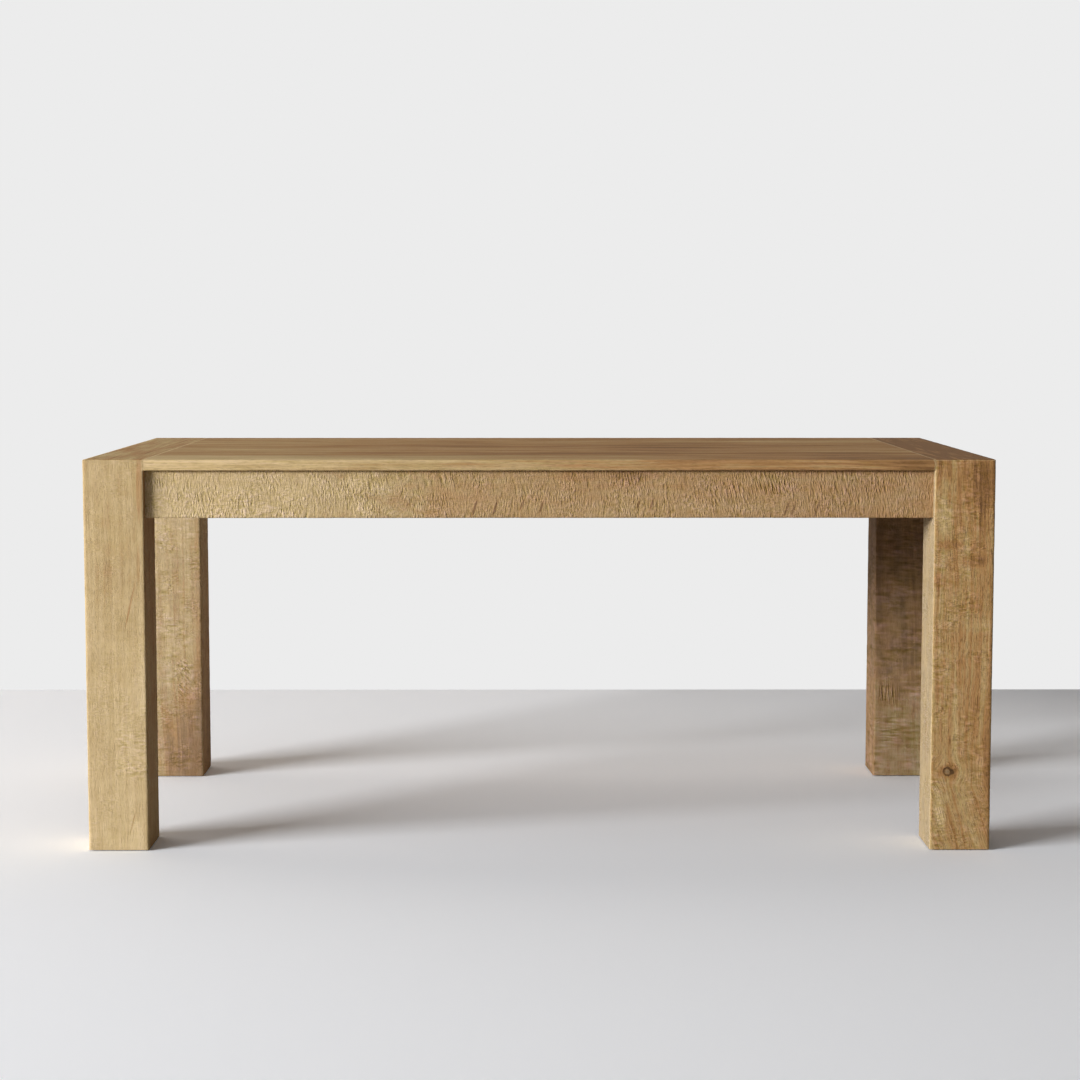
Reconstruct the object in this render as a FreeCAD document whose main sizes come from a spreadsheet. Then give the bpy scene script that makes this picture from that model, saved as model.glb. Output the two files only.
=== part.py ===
"""Parsons dining table in solid oak, modelled as the boards, blocks and fasteners it is built from.

The frame is the table's own: X runs along its length, the front faces -Y, Z is up, and the origin is on the
floor under the middle of the table.  Millimetres throughout.

Every leg is a hollow post of four mitred staves.  Its two outer staves run up to the table top, where their
heads are mitred to the end board.  The aprons are tenoned into the posts, and the top of six planks and two
end boards is splined together and screwed down from bearers and cleats under it.
"""
import FreeCAD, Part
import os
import re
import Sketcher

# The driving dimensions.  Each is written once, here, and goes into the sheet under its own name.
SIZES = {
    "table_length": 1800,
    "table_depth": 900,
    "table_height": 783,
    "top_thickness": 22,
    "edge_ease": 1.5,
    # legs; an end board is as wide as the leg it ends on
    "leg_width": 120,
    "leg_depth": 130,
    "stave_thickness": 22,
    "key_width": 14,
    "key_thickness": 5,
    "head_block_height": 130,
    "foot_block_height": 60,
    # aprons and the tenons that hold them in the legs
    "apron_recess": 15,
    "apron_thickness": 25,
    "apron_height": 95,
    "tenon_shoulder": 3,
    "tenon_thickness": 8,
    "tenon_height": 65,
    "tenon_length": 45,
    # parts of the top's depth that its planks take, from the front
    "front_plank_parts": 30,
    "second_plank_parts": 28,
    "third_plank_parts": 29,
    "fourth_plank_parts": 33,
    "fifth_plank_parts": 32,
    "rear_plank_parts": 28,
    # loose splines that join the boards of the top
    "spline_thickness": 6,
    "spline_width": 20,
    "spline_stop": 40,
    # bearers and cleats under the top
    "bearer_width": 80,
    "bearer_height": 25,
    "housing_depth": 8,
    "cleat_width": 25,
    "cleat_height": 25,
    "cleat_gap": 5,
    # countersunk wood screws
    "screw_diameter": 4.5,
    "screw_head_diameter": 9,
    "screw_head_height": 2.5,
    "screw_point": 5,
    "screw_bite": 14,
    "screw_inset": 60,
    # nail-on floor glides
    "glide_diameter": 32,
    "glide_thickness": 5,
    "glide_stand": 2,
    "glide_ease": 1,
    "nail_diameter": 3,
    "nail_length": 22,
    "nail_head_diameter": 8,
    "nail_head_height": 1,
    "nail_sink": 1.5,
    # fits
    "joint_clearance": 0.2,
    "glue_relief": 1,
}

# Levels and distances that several pieces share, as expressions of those sizes.
UNDERSIDE = "(table_height - top_thickness)"
POST_HEIGHT = "(table_height - glide_stand)"
POST_TO_TOP = f"({UNDERSIDE} - glide_stand)"
HALF_SPAN = "(table_length / 2 - leg_width)"
HALF_BAY = "(table_depth / 2 - leg_depth)"
APRON_BACK = "(apron_recess + apron_thickness)"
APRON_BOTTOM = f"({UNDERSIDE} - apron_height)"
TENON_FACE = f"({APRON_BACK} - tenon_shoulder - tenon_thickness)"
TENON_BOTTOM = f"({UNDERSIDE} - (apron_height + tenon_height) / 2)"
SPLINE_BOTTOM = f"({UNDERSIDE} + (top_thickness - spline_thickness) / 2)"
BEARER_PITCH = f"((2 * {HALF_SPAN} + bearer_width) / 4)"
BEARER_BOTTOM = f"({UNDERSIDE} - bearer_height)"
CLEAT_BOTTOM = f"({UNDERSIDE} - cleat_height)"
CLEAT_LINE = f"({APRON_BACK} + cleat_width / 2)"
LONG_CLEAT = f"({BEARER_PITCH} - bearer_width - 2 * cleat_gap)"
END_CLEAT = f"(2 * {HALF_BAY} - 2 * cleat_gap)"

PLANKS = ["front_plank", "second_plank", "third_plank", "fourth_plank", "fifth_plank", "rear_plank"]
ALL_PARTS = "(" + " + ".join(f"{plank}_parts" for plank in PLANKS) + ")"
LEGS = {"front_left": (-1, -1), "front_right": (1, -1), "rear_left": (-1, 1), "rear_right": (1, 1)}
BEARERS = {"left_bearer": -1, "middle_bearer": 0, "right_bearer": 1}
CLEAT_BAYS = [-1.5, -0.5, 0.5, 1.5]
END_SCREWS = [-1, -1 / 3, 1 / 3, 1]

# The circle that a sketch's lines are first drawn round, before its constraints place them.
ROUGH_RADIUS = 100

document = FreeCAD.newDocument("parsons_dining_table")
pieces = []


def plank_edge(count):
    """The line behind the first few planks, across the depth of the top."""
    before = " + ".join(["0"] + [f"{plank}_parts" for plank in PLANKS[:count]])
    return f"((({before}) / {ALL_PARTS} - 0.5) * table_depth)"


PLANK_EDGES = [plank_edge(count) for count in range(len(PLANKS) + 1)]
SEAMS = PLANK_EDGES[1:-1]


def make_sheet():
    """Write the driving dimensions into the sheet that every size below is bound to."""
    sheet = document.addObject("Spreadsheet::Sheet", "Sizes")
    for row, (name, value) in enumerate(SIZES.items(), start=1):
        sheet.set(f"A{row}", name)
        sheet.set(f"B{row}", str(value))
        sheet.setAlias(f"B{row}", name)
    document.recompute()


def bound(text):
    """Turn an expression of size names into one that reads the sheet."""
    return re.sub(r"\b[a-z_]+\b(?!\()", r"Sizes.\g<0>", text)


def place(item, x, y, z):
    """Tie an object's position to the sheet."""
    for axis, text in (("x", x), ("y", y), ("z", z)):
        item.setExpression(f"Placement.Base.{axis}", bound(text))
    return item


def keep(item, label):
    """Note a finished sub-part, which is written out under its label."""
    item.Label = label
    pieces.append(item)
    return item


def block(name, x, y, bottom, sides):
    """A rectangular block centred on x and y and standing on its bottom level."""
    length, width, height = sides
    item = document.addObject("Part::Box", name)
    item.setExpression("Length", bound(length))
    item.setExpression("Width", bound(width))
    item.setExpression("Height", bound(height))
    return place(item, f"{x} - ({length}) / 2", f"{y} - ({width}) / 2", bottom)


def cylinder(name, x, y, bottom, diameter, height):
    """An upright cylinder."""
    item = document.addObject("Part::Cylinder", name)
    item.setExpression("Radius", bound(f"({diameter}) / 2"))
    item.setExpression("Height", bound(height))
    return place(item, x, y, bottom)


def cone(name, x, y, bottom, diameters, height):
    """An upright cone or frustum, given its bottom and top diameters."""
    item = document.addObject("Part::Cone", name)
    item.setExpression("Radius1", bound(f"({diameters[0]}) / 2"))
    item.setExpression("Radius2", bound(f"({diameters[1]}) / 2"))
    item.setExpression("Height", bound(height))
    return place(item, x, y, bottom)


def fuse(name, items):
    """Join solids into one."""
    item = document.addObject("Part::MultiFuse", name)
    item.Shapes = items
    item.Refine = True
    return item


def group(name, items):
    """Hold several separate solids together as one object."""
    item = document.addObject("Part::Compound", name)
    item.Links = items
    return item


def cut(name, base, tool):
    """Take a tool out of a base."""
    item = document.addObject("Part::Cut", name)
    item.Base = base
    item.Tool = tool
    item.Refine = True
    return item


def new_body(name, x, y, z):
    """An empty body with its origin at a place tied to the sheet."""
    return place(document.addObject("PartDesign::Body", name), x, y, z)


def sketch(body, plane, outlines):
    """Draw closed outlines on one of the body's own planes, each corner a pair of expressions."""
    drawing = body.newObject("Sketcher::SketchObject", f"{body.Name}_sketch")
    flat = next(item for item in body.Origin.OriginFeatures if item.Role == plane)
    drawing.AttachmentSupport = [(flat, "")]
    drawing.MapMode = "FlatFace"
    for outline in outlines:
        first = drawing.GeometryCount
        turn = 360 / len(outline)
        rough = [FreeCAD.Rotation(turn * corner, 0, 0).multVec(FreeCAD.Vector(ROUGH_RADIUS, 0, 0))
                 for corner in range(len(outline))]
        for start, end in zip(rough, rough[1:] + rough[:1]):
            drawing.addGeometry(Part.LineSegment(start, end))
        for corner, (across, up) in enumerate(outline):
            line = first + corner
            next_line = first + (corner + 1) % len(outline)
            drawing.addConstraint(Sketcher.Constraint("Coincident", line, 2, next_line, 1))
            for direction, text, value in (("DistanceX", across, rough[corner].x),
                                           ("DistanceY", up, rough[corner].y)):
                constraint = drawing.addConstraint(Sketcher.Constraint(direction, line, 1, value))
                drawing.setExpression(f"Constraints[{constraint}]", bound(text))
    return drawing


def pad(body, plane, outlines, length, both_ways=False):
    """Raise a sketch into a solid, either up from its plane or half to each side of it."""
    feature = body.newObject("PartDesign::Pad", f"{body.Name}_pad")
    feature.Profile = sketch(body, plane, outlines)
    feature.setExpression("Length", bound(length))
    if both_ways:
        feature.SideType = "Symmetric"
    return feature


def pocket_up(body, outlines, length):
    """Cut a plan sketch out of the body, from its foot upwards."""
    feature = body.newObject("PartDesign::Pocket", f"{body.Name}_pocket")
    feature.Profile = sketch(body, "XY_Plane", outlines)
    feature.setExpression("Length", bound(length))
    feature.Reversed = True
    return feature


def pocket_through(body, plane, outlines):
    """Cut a sketch on an upright plane through the whole body."""
    feature = body.newObject("PartDesign::Pocket", f"{body.Name}_through")
    feature.Profile = sketch(body, plane, outlines)
    feature.Type = "ThroughAll"
    feature.SideType = "Symmetric"
    return feature


def mirrored(outline, sign_across, sign_up=1):
    """Turn an outline measured inwards from an outer face into the body's own directions."""
    return [(f"{-sign_across} * ({across})", f"{sign_up} * ({up})") for across, up in outline]


def in_plan(outline, side_x, side_y):
    """Turn a plan outline measured inwards from a table corner into the body's own directions."""
    return mirrored(outline, side_x, -side_y)


# ---------------------------------------------------------------------------------------- mitre keys

def key_outline(slack):
    """A key's section across the mitre of two staves, as depths from the two outer faces they make."""
    reach = f"(key_width + 2 * {slack}) / sqrt(8)"
    half = f"(key_thickness + 2 * {slack}) / sqrt(8)"
    middle = "stave_thickness / 2"
    return [(f"{middle} + {reach} + {half}", f"{middle} - {reach} + {half}"),
            (f"{middle} + {reach} - {half}", f"{middle} - {reach} - {half}"),
            (f"{middle} - {reach} - {half}", f"{middle} + {reach} - {half}"),
            (f"{middle} - {reach} + {half}", f"{middle} + {reach} + {half}")]


def from_far_side(outline, width):
    """Measure an outline's first coordinate from the opposite side."""
    return [(f"{width} - ({across})", up) for across, up in outline]


def make_mitre_keys(leg, side_x, side_y):
    """The four keys of a leg, one upright strip across each mitre."""
    near = key_outline("0")
    far = [(across, f"leg_depth - ({up})") for across, up in near]
    outlines = [near, from_far_side(near, "leg_width"), far, from_far_side(far, "leg_width")]
    body = corner_body(f"{leg}_keys_body", side_x, side_y)
    pad(body, "XY_Plane", [in_plan(outline, side_x, side_y) for outline in outlines], POST_TO_TOP)
    keep(body, f"{leg}_mitre_keys")


# --------------------------------------------------------------------------------------- leg staves

def corner_body(name, side_x, side_y):
    """A body at the foot of a leg, on the outer corner of the table."""
    return new_body(name, f"{side_x} * table_length / 2", f"{side_y} * table_depth / 2", "glide_stand")


# How a stave's own width and depth lie in the leg's plan, measured inwards from the table's corner.
STAVES = {
    "face_stave": ("leg_width", lambda across, deep: (across, deep)),
    "outer_stave": ("leg_depth", lambda across, deep: (deep, across)),
    "inner_stave": ("leg_depth", lambda across, deep: (f"leg_width - ({deep})", across)),
    "back_stave": ("leg_width", lambda across, deep: (across, f"leg_depth - ({deep})")),
}


def stave_body(leg, kind, side_x, side_y, outline, height):
    """A stave from its plan outline, with the grooves for the keys of its two mitres."""
    width, turn = STAVES[kind]
    body = corner_body(f"{leg}_{kind}_body", side_x, side_y)

    def plan(points):
        return in_plan([turn(across, deep) for across, deep in points], side_x, side_y)

    pad(body, "XY_Plane", [plan(outline)], height)
    grooves = [key_outline("joint_clearance"), from_far_side(key_outline("joint_clearance"), width)]
    pocket_up(body, [plan(groove) for groove in grooves], POST_TO_TOP)
    return body, plan


def make_outer_staves(leg, side_x, side_y):
    """The face and end staves, whose heads reach the table top and are mitred to the end board.

    Below the top both long edges are mitred; beside the top the inner edge is left square.
    """
    staves = {}
    head = [("0", f"{POST_HEIGHT} - edge_ease"), ("0", POST_HEIGHT), ("stave_thickness", POST_HEIGHT),
            ("stave_thickness", f"{POST_HEIGHT} - stave_thickness"),
            ("edge_ease / 2", f"{POST_HEIGHT} - edge_ease / 2")]
    for kind, plane, side in (("face_stave", "YZ_Plane", side_y), ("outer_stave", "XZ_Plane", side_x)):
        width = STAVES[kind][0]
        outline = [("edge_ease", "0"), (width, "0"), (width, "stave_thickness"),
                   ("stave_thickness", "stave_thickness"), ("edge_ease / 2", "edge_ease / 2")]
        body, plan = stave_body(leg, kind, side_x, side_y, outline, POST_HEIGHT)
        far_mitre = [(f"{width} - edge_ease", "0"), (width, "0"), (width, "stave_thickness"),
                     (f"{width} - stave_thickness", "stave_thickness"),
                     (f"{width} - edge_ease / 2", "edge_ease / 2")]
        pocket_up(body, [plan(far_mitre)], POST_TO_TOP)
        pocket_through(body, plane, [mirrored(head, side)])
        staves[kind] = keep(body, f"{leg}_{kind}")
    return staves


def make_inner_staves(leg, side_x, side_y, mortises):
    """The inner and back staves, which stop under the top and are mortised for the apron tenons."""
    for kind, mortise in (("inner_stave", mortises[0]), ("back_stave", mortises[1])):
        width = STAVES[kind][0]
        outline = [("edge_ease", "0"), (f"{width} - edge_ease", "0"),
                   (f"{width} - edge_ease / 2", "edge_ease / 2"),
                   (f"{width} - stave_thickness", "stave_thickness"),
                   ("stave_thickness", "stave_thickness"), ("edge_ease / 2", "edge_ease / 2")]
        body, _ = stave_body(leg, kind, side_x, side_y, outline, POST_TO_TOP)
        keep(cut(f"{leg}_{kind}_cut", body, mortise), f"{leg}_{kind}")


# ----------------------------------------------------------------------- blocks inside the hollow posts

def make_mortises(leg, side_x, side_y):
    """The holes for a leg's two tenons: one entering along X from its inner face, one along Y."""
    depth = "(tenon_length + glue_relief)"
    breadth = "tenon_thickness + 2 * joint_clearance"
    height = "tenon_height + 2 * joint_clearance"
    line = f"({TENON_FACE} + tenon_thickness / 2)"
    bottom = f"{TENON_BOTTOM} - joint_clearance"
    along_x = block(f"{leg}_mortise_x", f"{side_x} * ({HALF_SPAN} + {depth} / 2)",
                    f"{side_y} * (table_depth / 2 - {line})", bottom, (depth, breadth, height))
    along_y = block(f"{leg}_mortise_y", f"{side_x} * (table_length / 2 - {line})",
                    f"{side_y} * ({HALF_BAY} + {depth} / 2)", bottom, (breadth, depth, height))
    return along_x, along_y


def post_block(name, side_x, side_y, bottom, height):
    """A block that fills the hollow of a post over part of its height."""
    sides = ("leg_width - 2 * stave_thickness", "leg_depth - 2 * stave_thickness", height)
    return block(name, f"{side_x} * (table_length / 2 - leg_width / 2)",
                 f"{side_y} * (table_depth / 2 - leg_depth / 2)", bottom, sides)


def make_head_block(leg, side_x, side_y, mortises):
    """The block under the end board that backs the mortises."""
    base = post_block(f"{leg}_head_base", side_x, side_y, f"{UNDERSIDE} - head_block_height",
                      "head_block_height")
    keep(cut(f"{leg}_head_cut", base, group(f"{leg}_head_holes", list(mortises))), f"{leg}_head_block")


def glide_nail(name, x, y, slack):
    """A nail driven up through a glide, or with slack the hole for it."""
    head = cylinder(f"{name}_head", x, y, "nail_sink", f"nail_head_diameter + 2 * {slack}",
                    "nail_head_height")
    shank = cylinder(f"{name}_shank", x, y, "nail_sink + nail_head_height / 2",
                     f"nail_diameter + 2 * {slack}", f"nail_length + {slack}")
    return fuse(name, [head, shank])


def make_foot(leg, side_x, side_y):
    """The foot block, the glide let into it, and the nail that holds the glide."""
    x = f"{side_x} * (table_length / 2 - leg_width / 2)"
    y = f"{side_y} * (table_depth / 2 - leg_depth / 2)"
    nail = glide_nail(f"{leg}_nail", x, y, "0")
    hole = glide_nail(f"{leg}_nail_hole", x, y, "joint_clearance")

    straight = "(glide_thickness - glide_ease)"
    disc = cylinder(f"{leg}_glide_disc", x, y, "glide_ease", "glide_diameter", straight)
    rim = cone(f"{leg}_glide_rim", x, y, "0", ("glide_diameter - 2 * glide_ease", "glide_diameter"),
               "glide_ease")
    sink = cylinder(f"{leg}_glide_sink", x, y, "0", "nail_head_diameter + 2 * joint_clearance",
                    "nail_sink + nail_head_height")
    glide = cut(f"{leg}_glide_cut", fuse(f"{leg}_glide_body", [disc, rim]),
                group(f"{leg}_glide_holes", [hole, sink]))
    keep(glide, f"{leg}_glide")

    seat = cylinder(f"{leg}_glide_seat", x, y, "glide_stand", "glide_diameter + 2 * joint_clearance",
                    "glide_thickness - glide_stand")
    base = post_block(f"{leg}_foot_base", side_x, side_y, "glide_stand", "foot_block_height")
    keep(cut(f"{leg}_foot_cut", base, group(f"{leg}_foot_holes", [hole, seat])), f"{leg}_foot_block")
    return nail


# ------------------------------------------------------------------------------------------- aprons

def apron_body(name, x, y, plane, side, span):
    """An apron between two legs, with a tenon at each end, from its section."""
    body = new_body(name, x, y, "0")
    face = [("apron_recess + edge_ease", APRON_BOTTOM), (f"{APRON_BACK} - edge_ease", APRON_BOTTOM),
            (APRON_BACK, f"{APRON_BOTTOM} + edge_ease"), (APRON_BACK, UNDERSIDE),
            ("apron_recess", UNDERSIDE), ("apron_recess", f"{APRON_BOTTOM} + edge_ease")]
    tenon = [(TENON_FACE, TENON_BOTTOM), (f"{TENON_FACE} + tenon_thickness", TENON_BOTTOM),
             (f"{TENON_FACE} + tenon_thickness", f"{TENON_BOTTOM} + tenon_height"),
             (TENON_FACE, f"{TENON_BOTTOM} + tenon_height")]
    pad(body, plane, [mirrored(face, side)], f"2 * {span}", both_ways=True)
    pad(body, plane, [mirrored(tenon, side)], f"2 * {span} + 2 * tenon_length", both_ways=True)
    return body


def bearer_block(name, number, slack):
    """A bearer, or with slack the housings for its two ends."""
    reach = f"2 * (table_depth / 2 - {APRON_BACK} + housing_depth + {slack})"
    sides = (f"bearer_width + 2 * {slack}", reach, f"bearer_height + {slack}")
    return block(name, f"{number} * {BEARER_PITCH}", "0", f"{BEARER_BOTTOM} - {slack}", sides)


def make_aprons():
    """Front and rear aprons, housed for the bearers, and the two end aprons."""
    housings = group("bearer_housings", [bearer_block(f"{name}_housing", number, "joint_clearance")
                                         for name, number in BEARERS.items()])
    for name, side in (("front_apron", -1), ("rear_apron", 1)):
        body = apron_body(f"{name}_body", "0", f"{side} * table_depth / 2", "YZ_Plane", side, HALF_SPAN)
        keep(cut(f"{name}_cut", body, housings), name)
    for name, side in (("left_apron", -1), ("right_apron", 1)):
        keep(apron_body(f"{name}_body", f"{side} * table_length / 2", "0", "XZ_Plane", side, HALF_BAY), name)


# ------------------------------------------------------------------------------- screws under the top

def screw(name, x, y, board_height, slack):
    """A countersunk screw driven up through a board into the top, or with slack the hole for it."""
    body = f"screw_diameter + 2 * {slack}"
    bottom = f"{UNDERSIDE} - {board_height}"
    straight = f"({board_height} + screw_bite - screw_head_height - screw_point)"
    head = cone(f"{name}_head", x, y, bottom, (f"screw_head_diameter + 2 * {slack}", body),
                "screw_head_height")
    shank = cylinder(f"{name}_shank", x, y, f"{bottom} + screw_head_height", body, straight)
    point = cone(f"{name}_point", x, y, f"{bottom} + screw_head_height + {straight}", (body, "0"),
                 f"screw_point + {slack}")
    return fuse(name, [head, shank, point])


def bearer_screw_places():
    """One screw up into the middle of every plank from every bearer."""
    middles = [f"({low} + {high}) / 2" for low, high in zip(PLANK_EDGES, PLANK_EDGES[1:])]
    return [(f"{number} * {BEARER_PITCH}", middle) for number in BEARERS.values() for middle in middles]


def long_cleat_screw_places():
    """Two screws in every cleat along the front and rear aprons."""
    offset = f"({LONG_CLEAT} / 2 - screw_inset)"
    return [(f"{bay} * {BEARER_PITCH} + {end} * {offset}", f"{side} * (table_depth / 2 - {CLEAT_LINE})")
            for side in (-1, 1) for bay in CLEAT_BAYS for end in (-1, 1)]


def end_cleat_screw_places():
    """Four screws in each cleat along an end apron."""
    reach = f"({END_CLEAT} / 2 - screw_inset)"
    return [(f"{side} * (table_length / 2 - {CLEAT_LINE})", f"{share} * {reach}")
            for side in (-1, 1) for share in END_SCREWS]


def make_screws(label, places, board_height):
    """A group of like screws, and the group of holes for them."""
    screws = [screw(f"{label}_screw", x, y, board_height, "0") for x, y in places]
    holes = [screw(f"{label}_hole", x, y, board_height, "joint_clearance") for x, y in places]
    keep(group(f"{label}_group", screws), label)
    return group(f"{label}_holes", holes)


# ------------------------------------------------------------------------------- bearers and cleats

def make_bearers(holes):
    """Three flat boards across the underside of the top, housed into the front and rear aprons."""
    for name, number in BEARERS.items():
        base = bearer_block(f"{name}_base", number, "0")
        keep(cut(f"{name}_cut", base, holes), name)


def make_cleats(holes):
    """Square cleats in the angle between the aprons and the top."""
    for name, side in (("front_cleats", -1), ("rear_cleats", 1)):
        line = f"{side} * (table_depth / 2 - {CLEAT_LINE})"
        bars = [block(f"{name}_bar", f"{bay} * {BEARER_PITCH}", line, CLEAT_BOTTOM,
                      (LONG_CLEAT, "cleat_width", "cleat_height")) for bay in CLEAT_BAYS]
        keep(cut(f"{name}_cut", group(f"{name}_bars", bars), holes), name)
    for name, side in (("left_cleat", -1), ("right_cleat", 1)):
        bar = block(f"{name}_bar", f"{side} * (table_length / 2 - {CLEAT_LINE})", "0", CLEAT_BOTTOM,
                    ("cleat_width", END_CLEAT, "cleat_height"))
        keep(cut(f"{name}_cut", bar, holes), name)


# ---------------------------------------------------------------------------------------- table top

def plank_spline(name, seam, slack):
    """The loose spline of a seam between two planks, or with slack its grooves."""
    sides = (f"2 * ({HALF_SPAN} - spline_stop + {slack})", f"spline_width + 2 * {slack}",
             f"spline_thickness + 2 * {slack}")
    return block(name, "0", seam, f"{SPLINE_BOTTOM} - {slack}", sides)


def end_spline(name, side, slack):
    """The loose spline between the planks and an end board, or with slack its grooves."""
    sides = (f"spline_width + 2 * {slack}", f"2 * (table_depth / 2 - spline_stop + {slack})",
             f"spline_thickness + 2 * {slack}")
    return block(name, f"{side} * {HALF_SPAN}", "0", f"{SPLINE_BOTTOM} - {slack}", sides)


def make_splines():
    """All splines of the top, and the group of grooves for them."""
    ends = {"left_end": -1, "right_end": 1}
    keep(group("plank_spline_group", [plank_spline("plank_spline", seam, "0") for seam in SEAMS]),
         "plank_splines")
    for name, side in ends.items():
        keep(end_spline(f"{name}_spline_bar", side, "0"), f"{name}_spline")
    grooves = [plank_spline("plank_groove", seam, "joint_clearance") for seam in SEAMS]
    grooves += [end_spline(f"{name}_groove", side, "joint_clearance") for name, side in ends.items()]
    return grooves


def make_planks(voids):
    """Six planks along the table, the front and rear ones with their outer arrises eased."""
    for name, low, high in zip(PLANKS, PLANK_EDGES, PLANK_EDGES[1:]):
        low_ease = "edge_ease" if name == "front_plank" else None
        high_ease = "edge_ease" if name == "rear_plank" else None
        section = edge_points(low, "+", low_ease) + edge_points(high, "-", high_ease)[::-1]
        body = new_body(f"{name}_body", "0", "0", UNDERSIDE)
        pad(body, "YZ_Plane", [section], f"2 * {HALF_SPAN}", both_ways=True)
        keep(cut(f"{name}_cut", body, voids), name)


def edge_points(edge, inwards, ease):
    """A plank's edge in section from bottom to top, with both arrises eased or square."""
    if ease is None:
        return [(edge, "0"), (edge, "top_thickness")]
    inner = f"{edge} {inwards} {ease}"
    return [(inner, "0"), (edge, ease), (edge, f"top_thickness - {ease}"), (inner, "top_thickness")]


def make_end_boards(outer_staves, voids):
    """The boards across the two ends of the top, mitred all round the heads of the legs' staves."""
    mitre = [("0", "0 - stave_thickness"), ("0", "top_thickness"), ("edge_ease", "top_thickness"),
             ("edge_ease / 2", "top_thickness - edge_ease / 2"),
             ("stave_thickness", "top_thickness - stave_thickness"),
             ("stave_thickness", "0 - stave_thickness")]
    for name, side in (("left_end_board", -1), ("right_end_board", 1)):
        body = new_body(f"{name}_body", f"{side} * table_length / 2", "0", UNDERSIDE)
        section = edge_points("0", "+", "edge_ease") + [("leg_width", "top_thickness"), ("leg_width", "0")]
        pad(body, "XZ_Plane", [mirrored(section, side)], "table_depth", both_ways=True)
        ends = [[(f"{end} * (table_depth / 2 - ({across}))", up) for across, up in mitre]
                for end in (-1, 1)]
        pocket_through(body, "YZ_Plane", ends)
        fitted = cut(f"{name}_fitted", body, group(f"{name}_heads", outer_staves[side]))
        keep(cut(f"{name}_cut", fitted, voids), name)


# ------------------------------------------------------------------------------------ the whole table

def make_table():
    """Build every piece."""
    make_sheet()
    outer_staves = {-1: [], 1: []}
    nails = []
    for leg, (side_x, side_y) in LEGS.items():
        mortises = make_mortises(leg, side_x, side_y)
        staves = make_outer_staves(leg, side_x, side_y)
        outer_staves[side_x].append(staves["outer_stave"])
        make_inner_staves(leg, side_x, side_y, mortises)
        make_mitre_keys(leg, side_x, side_y)
        make_head_block(leg, side_x, side_y, mortises)
        nails.append(make_foot(leg, side_x, side_y))
    keep(group("nail_group", nails), "glide_nails")
    make_aprons()
    bearer_holes = make_screws("bearer_screws", bearer_screw_places(), "bearer_height")
    cleat_holes = make_screws("cleat_screws", long_cleat_screw_places() + end_cleat_screw_places(),
                              "cleat_height")
    make_bearers(bearer_holes)
    make_cleats(cleat_holes)
    voids = group("top_voids", make_splines() + [bearer_holes, cleat_holes])
    make_planks(voids)
    make_end_boards(outer_staves, voids)
    document.recompute()


def check_table():
    """Stop if any object failed, any pocket cut nothing or any piece is not a sound solid."""
    for item in document.Objects:
        if "Invalid" in item.State or "Error" in item.State:
            raise RuntimeError(f"{item.Name} did not compute: {item.State}")
        if item.TypeId == "PartDesign::Pocket" and item.Shape.Volume >= item.BaseFeature.Shape.Volume:
            raise RuntimeError(f"{item.Name} cuts nothing")
    for piece in pieces:
        if piece.Shape.isNull() or not piece.Shape.isValid() or not piece.Shape.Solids:
            raise RuntimeError(f"{piece.Label} is not a sound solid")


def write_table():
    """Write every piece to a file named after it."""
    os.makedirs("parts", exist_ok=True)
    for piece in pieces:
        piece.Shape.exportStep(f"parts/{piece.Label}.step")
    print(f"{len(pieces)} pieces, {sum(len(piece.Shape.Solids) for piece in pieces)} solids written")


make_table()
check_table()
write_table()
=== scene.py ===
import math

import bmesh
import bpy
from bpy.props import FloatProperty, FloatVectorProperty, PointerProperty
from mathutils import Matrix, Vector, noise


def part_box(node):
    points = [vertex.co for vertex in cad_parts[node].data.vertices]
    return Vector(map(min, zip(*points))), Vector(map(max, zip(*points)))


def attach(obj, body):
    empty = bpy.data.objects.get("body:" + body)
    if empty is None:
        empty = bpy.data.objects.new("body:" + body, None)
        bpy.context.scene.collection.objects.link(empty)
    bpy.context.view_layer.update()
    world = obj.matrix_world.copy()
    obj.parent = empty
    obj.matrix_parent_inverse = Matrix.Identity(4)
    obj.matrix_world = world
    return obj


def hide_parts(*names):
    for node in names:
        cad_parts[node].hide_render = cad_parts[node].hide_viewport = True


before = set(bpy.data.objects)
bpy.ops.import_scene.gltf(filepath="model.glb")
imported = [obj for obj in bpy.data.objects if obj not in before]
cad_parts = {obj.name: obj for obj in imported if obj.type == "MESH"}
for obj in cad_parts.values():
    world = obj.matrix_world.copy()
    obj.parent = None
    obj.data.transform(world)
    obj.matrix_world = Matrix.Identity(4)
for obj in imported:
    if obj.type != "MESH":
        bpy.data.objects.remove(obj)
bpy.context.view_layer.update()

bl_info = {
    "name": "Parsons dining table",
    "version": (1, 0, 0),
    "blender": (4, 5, 0),
    "location": "3D View > Sidebar > Table",
    "description": "Dresses a reclaimed oak parsons table board by board",
    "category": "Add Mesh",
}

MM = 0.001
ENDS = ("front_left", "front_right", "rear_left", "rear_right")
X, Y, Z = range(3)


def linear(code):
    """An sRGB hex colour as linear red, green, blue and alpha."""
    parts = [int(code[i:i + 2], 16) / 255 for i in (1, 3, 5)]
    return (*(c / 12.92 if c <= 0.04045 else ((c + 0.055) / 1.055) ** 2.4 for c in parts), 1.0)


# ---------------------------------------------------------------- settings

def colour(name, about, value):
    """A colour that the panel offers, from its sRGB hex code."""
    return FloatVectorProperty(name=name, description=about, subtype="COLOR", size=3, min=0, max=1,
                               default=linear(value)[:3])


def length(name, about, value):
    """A size that the panel offers, in m."""
    return FloatProperty(name=name, description=about, unit="LENGTH", subtype="DISTANCE", min=0,
                         default=value)


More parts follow.
